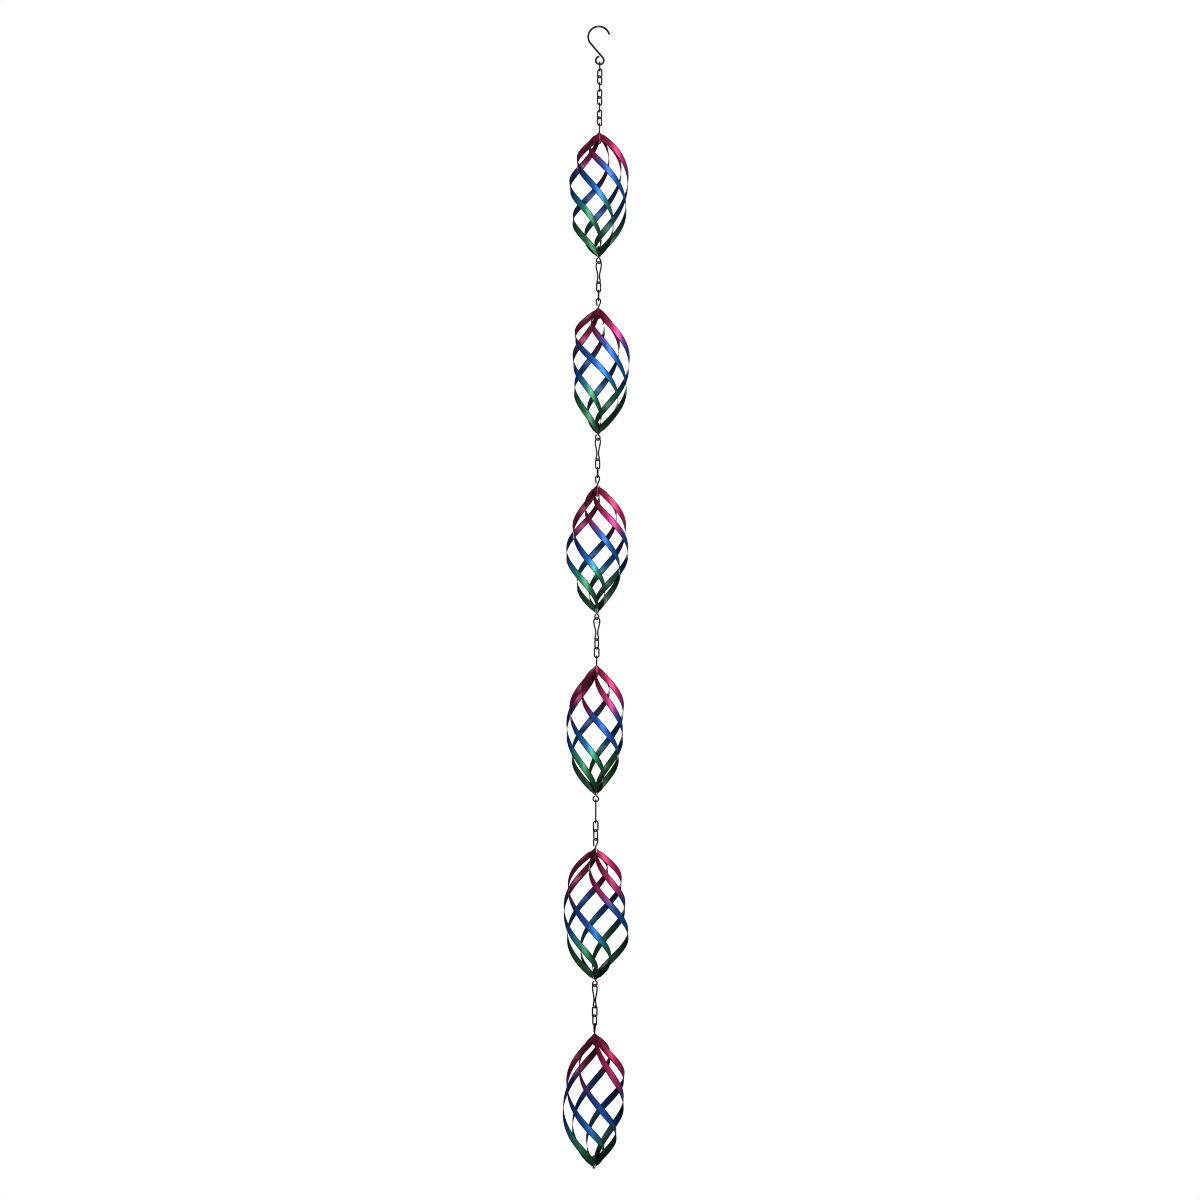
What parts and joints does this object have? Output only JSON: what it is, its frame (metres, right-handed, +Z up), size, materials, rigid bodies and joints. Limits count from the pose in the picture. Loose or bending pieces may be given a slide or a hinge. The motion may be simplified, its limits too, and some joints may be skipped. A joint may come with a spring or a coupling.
{
  "type": "hanging wind spinner",
  "caption": "Long hanging garden ornament: open spiral cages of painted metal strip, one below the other on chain, each free to spin, hung from a wire hook.",
  "frame": {"origin": "inside of the hook's bend where it rests on whatever holds it, on the line that the chain hangs in", "axes": "+Z up along the hanging line, +X to the right seen from the front, +Y to the back; the hook's wire lies in the XZ plane"},
  "size_m": [0.0852, 0.0925, 1.5263],
  "materials": {
    "hook_wire": "dark bronze, satin",
    "link_wire": "dark bronze, satin",
    "pin_wire": "dark bronze, satin",
    "painted_strip": "satin metallic, crimson at the top through purple, blue and teal to green at the bottom of each cage"
  },
  "bodies": {
    "hook": {"hook": "hook_wire"},
    "top_link_1": {"top_link_1": "link_wire"},
    "top_link_2": {"top_link_2": "link_wire"},
    "top_link_3": {"top_link_3": "link_wire"},
    "top_link_4": {"top_link_4": "link_wire"},
    "top_link_5": {"top_link_5": "link_wire"},
    "top_link_6": {"top_link_6": "link_wire"},
    "top_link_7": {"top_link_7": "link_wire"},
    "top_link_8": {"top_link_8": "link_wire"},
    "top_link_9": {"top_link_9": "link_wire"},
    "top_pin_1": {"top_pin_1": "pin_wire"},
    "cage_1": {"cage_1_strip_1": "painted_strip", "cage_1_strip_2": "painted_strip", "cage_1_strip_3": "painted_strip"},
    "bottom_pin_1": {"bottom_pin_1": "pin_wire"},
    "snap_link_1": {"snap_link_1": "link_wire"},
    "connector_1_link_1": {"connector_1_link_1": "link_wire"},
    "connector_1_link_2": {"connector_1_link_2": "link_wire"},
    "top_pin_2": {"top_pin_2": "pin_wire"},
    "cage_2": {"cage_2_strip_1": "painted_strip", "cage_2_strip_2": "painted_strip", "cage_2_strip_3": "painted_strip"},
    "bottom_pin_2": {"bottom_pin_2": "pin_wire"},
    "snap_link_2": {"snap_link_2": "link_wire"},
    "connector_2_link_1": {"connector_2_link_1": "link_wire"},
    "connector_2_link_2": {"connector_2_link_2": "link_wire"},
    "top_pin_3": {"top_pin_3": "pin_wire"},
    "cage_3": {"cage_3_strip_1": "painted_strip", "cage_3_strip_2": "painted_strip", "cage_3_strip_3": "painted_strip"},
    "bottom_pin_3": {"bottom_pin_3": "pin_wire"},
    "snap_link_3": {"snap_link_3": "link_wire"},
    "connector_3_link_1": {"connector_3_link_1": "link_wire"},
    "connector_3_link_2": {"connector_3_link_2": "link_wire"},
    "top_pin_4": {"top_pin_4": "pin_wire"},
    "cage_4": {"cage_4_strip_1": "painted_strip", "cage_4_strip_2": "painted_strip", "cage_4_strip_3": "painted_strip"},
    "bottom_pin_4": {"bottom_pin_4": "pin_wire"},
    "snap_link_4": {"snap_link_4": "link_wire"},
    "connector_4_link_1": {"connector_4_link_1": "link_wire"},
    "connector_4_link_2": {"connector_4_link_2": "link_wire"},
    "top_pin_5": {"top_pin_5": "pin_wire"},
    "cage_5": {"cage_5_strip_1": "painted_strip", "cage_5_strip_2": "painted_strip", "cage_5_strip_3": "painted_strip"},
    "bottom_pin_5": {"bottom_pin_5": "pin_wire"},
    "snap_link_5": {"snap_link_5": "link_wire"},
    "connector_5_link_1": {"connector_5_link_1": "link_wire"},
    "connector_5_link_2": {"connector_5_link_2": "link_wire"},
    "top_pin_6": {"top_pin_6": "pin_wire"},
    "cage_6": {"cage_6_strip_1": "painted_strip", "cage_6_strip_2": "painted_strip", "cage_6_strip_3": "painted_strip", "tip_rivet": "pin_wire"}
  },
  "joints": [
    {"name": "top_link_1_hinge", "type": "hinge", "parent": "hook", "child": "top_link_1", "pos_m": [0, 0, -0.0515], "axis": [1, 0, 0], "range_deg": [-40, 40]},
    {"name": "top_link_2_hinge", "type": "hinge", "parent": "top_link_1", "child": "top_link_2", "pos_m": [0, 0, -0.0607], "axis": [0, -1, 0], "range_deg": [-20, 20]},
    {"name": "top_link_3_hinge", "type": "hinge", "parent": "top_link_2", "child": "top_link_3", "pos_m": [0, 0, -0.0702], "axis": [-0.866, 0.5, 0], "range_deg": [-20, 20]},
    {"name": "top_link_4_hinge", "type": "hinge", "parent": "top_link_3", "child": "top_link_4", "pos_m": [0, 0, -0.0797], "axis": [0.866, 0.5, 0], "range_deg": [-20, 20]},
    {"name": "top_link_5_hinge", "type": "hinge", "parent": "top_link_4", "child": "top_link_5", "pos_m": [0, 0, -0.0892], "axis": [0, -1, 0], "range_deg": [-20, 20]},
    {"name": "top_link_6_hinge", "type": "hinge", "parent": "top_link_5", "child": "top_link_6", "pos_m": [0, 0, -0.0987], "axis": [-0.866, 0.5, 0], "range_deg": [-20, 20]},
    {"name": "top_link_7_hinge", "type": "hinge", "parent": "top_link_6", "child": "top_link_7", "pos_m": [0, 0, -0.1082], "axis": [-0.866, -0.5, 0], "range_deg": [-20, 20]},
    {"name": "top_link_8_hinge", "type": "hinge", "parent": "top_link_7", "child": "top_link_8", "pos_m": [0, 0, -0.1177], "axis": [0, 1, 0], "range_deg": [-20, 20]},
    {"name": "top_link_9_hinge", "type": "hinge", "parent": "top_link_8", "child": "top_link_9", "pos_m": [0, 0, -0.1272], "axis": [0.866, -0.5, 0], "range_deg": [-20, 20]},
    {"name": "top_pin_1_hinge", "type": "hinge", "parent": "top_link_9", "child": "top_pin_1", "pos_m": [0, 0, -0.1367], "axis": [-0.866, -0.5, 0], "range_deg": [-18, 18]},
    {"name": "cage_1_spin", "type": "hinge", "parent": "top_pin_1", "child": "cage_1", "pos_m": [0, 0, -0.1475], "axis": [0, 0, 1], "continuous": true},
    {"name": "bottom_pin_1_swivel", "type": "hinge", "parent": "cage_1", "child": "bottom_pin_1", "pos_m": [0, 0, -0.3185], "axis": [0, 0, 1], "continuous": true},
    {"name": "snap_link_1_hinge", "type": "hinge", "parent": "bottom_pin_1", "child": "snap_link_1", "pos_m": [0, 0, -0.32685], "axis": [0.8192, 0.5736, 0], "range_deg": [-20, 20]},
    {"name": "connector_1_link_1_hinge", "type": "hinge", "parent": "snap_link_1", "child": "connector_1_link_1", "pos_m": [0, 0, -0.35465], "axis": [-0.8192, 0.5736, 0], "range_deg": [-20, 20]},
    {"name": "connector_1_link_2_hinge", "type": "hinge", "parent": "connector_1_link_1", "child": "connector_1_link_2", "pos_m": [0, 0, -0.36605], "axis": [0.8192, 0.5736, 0], "range_deg": [-20, 20]},
    {"name": "top_pin_2_hinge", "type": "hinge", "parent": "connector_1_link_2", "child": "top_pin_2", "pos_m": [0, 0, -0.37745], "axis": [0.0872, -0.9962, 0], "range_deg": [-20, 20]},
    {"name": "cage_2_spin", "type": "hinge", "parent": "top_pin_2", "child": "cage_2", "pos_m": [0, 0, -0.38825], "axis": [0, 0, 1], "continuous": true},
    {"name": "bottom_pin_2_swivel", "type": "hinge", "parent": "cage_2", "child": "bottom_pin_2", "pos_m": [0, 0, -0.55925], "axis": [0, 0, 1], "continuous": true},
    {"name": "snap_link_2_hinge", "type": "hinge", "parent": "bottom_pin_2", "child": "snap_link_2", "pos_m": [0, 0, -0.5676], "axis": [0.848, 0.5299, 0], "range_deg": [-20, 20]},
    {"name": "connector_2_link_1_hinge", "type": "hinge", "parent": "snap_link_2", "child": "connector_2_link_1", "pos_m": [0, 0, -0.5954], "axis": [-0.809, 0.5878, 0], "range_deg": [-20, 20]},
    {"name": "connector_2_link_2_hinge", "type": "hinge", "parent": "connector_2_link_1", "child": "connector_2_link_2", "pos_m": [0, 0, -0.6068], "axis": [-0.8387, -0.5446, 0], "range_deg": [-20, 20]},
    {"name": "top_pin_3_hinge", "type": "hinge", "parent": "connector_2_link_2", "child": "top_pin_3", "pos_m": [0, 0, -0.6182], "axis": [0.1219, -0.9925, 0], "range_deg": [-20, 20]},
    {"name": "cage_3_spin", "type": "hinge", "parent": "top_pin_3", "child": "cage_3", "pos_m": [0, 0, -0.629], "axis": [0, 0, 1], "continuous": true},
    {"name": "bottom_pin_3_swivel", "type": "hinge", "parent": "cage_3", "child": "bottom_pin_3", "pos_m": [0, 0, -0.8], "axis": [0, 0, 1], "continuous": true},
    {"name": "snap_link_3_hinge", "type": "hinge", "parent": "bottom_pin_3", "child": "snap_link_3", "pos_m": [0, 0, -0.80835], "axis": [0.7071, 0.7071, 0], "range_deg": [-20, 20]},
    {"name": "connector_3_link_1_hinge", "type": "hinge", "parent": "snap_link_3", "child": "connector_3_link_1", "pos_m": [0, 0, -0.83615], "axis": [-0.9272, 0.3746, 0], "range_deg": [-20, 20]},
    {"name": "connector_3_link_2_hinge", "type": "hinge", "parent": "connector_3_link_1", "child": "connector_3_link_2", "pos_m": [0, 0, -0.84755], "axis": [-0.6947, -0.7193, 0], "range_deg": [-20, 20]},
    {"name": "top_pin_4_hinge", "type": "hinge", "parent": "connector_3_link_2", "child": "top_pin_4", "pos_m": [0, 0, -0.85895], "axis": [0.9397, -0.342, 0], "range_deg": [-20, 20]},
    {"name": "cage_4_spin", "type": "hinge", "parent": "top_pin_4", "child": "cage_4", "pos_m": [0, 0, -0.86975], "axis": [0, 0, 1], "continuous": true},
    {"name": "bottom_pin_4_swivel", "type": "hinge", "parent": "cage_4", "child": "bottom_pin_4", "pos_m": [0, 0, -1.04075], "axis": [0, 0, 1], "continuous": true},
    {"name": "snap_link_4_hinge", "type": "hinge", "parent": "bottom_pin_4", "child": "snap_link_4", "pos_m": [0, 0, -1.0491], "axis": [-1, 0, 0], "range_deg": [-20, 20]},
    {"name": "connector_4_link_1_hinge", "type": "hinge", "parent": "snap_link_4", "child": "connector_4_link_1", "pos_m": [0, 0, -1.0769], "axis": [0, 1, 0], "range_deg": [-20, 20]},
    {"name": "connector_4_link_2_hinge", "type": "hinge", "parent": "connector_4_link_1", "child": "connector_4_link_2", "pos_m": [0, 0, -1.0883], "axis": [0.9272, 0.3746, 0], "range_deg": [-20, 20]},
    {"name": "top_pin_5_hinge", "type": "hinge", "parent": "connector_4_link_2", "child": "top_pin_5", "pos_m": [0, 0, -1.0997], "axis": [0.7431, -0.6691, 0], "range_deg": [-20, 20]},
    {"name": "cage_5_spin", "type": "hinge", "parent": "top_pin_5", "child": "cage_5", "pos_m": [0, 0, -1.1105], "axis": [0, 0, 1], "continuous": true},
    {"name": "bottom_pin_5_swivel", "type": "hinge", "parent": "cage_5", "child": "bottom_pin_5", "pos_m": [0, 0, -1.2815], "axis": [0, 0, 1], "continuous": true},
    {"name": "snap_link_5_hinge", "type": "hinge", "parent": "bottom_pin_5", "child": "snap_link_5", "pos_m": [0, 0, -1.28985], "axis": [-0.8192, -0.5736, 0], "range_deg": [-20, 20]},
    {"name": "connector_5_link_1_hinge", "type": "hinge", "parent": "snap_link_5", "child": "connector_5_link_1", "pos_m": [0, 0, -1.31765], "axis": [-0.7071, 0.7071, 0], "range_deg": [-20, 20]},
    {"name": "connector_5_link_2_hinge", "type": "hinge", "parent": "connector_5_link_1", "child": "connector_5_link_2", "pos_m": [0, 0, -1.32905], "axis": [0.9205, 0.3907, 0], "range_deg": [-20, 20]},
    {"name": "top_pin_6_hinge", "type": "hinge", "parent": "connector_5_link_2", "child": "top_pin_6", "pos_m": [0, 0, -1.34045], "axis": [0.7314, -0.682, 0], "range_deg": [-20, 20]},
    {"name": "cage_6_spin", "type": "hinge", "parent": "top_pin_6", "child": "cage_6", "pos_m": [0, 0, -1.35125], "axis": [0, 0, 1], "continuous": true}
  ]
}
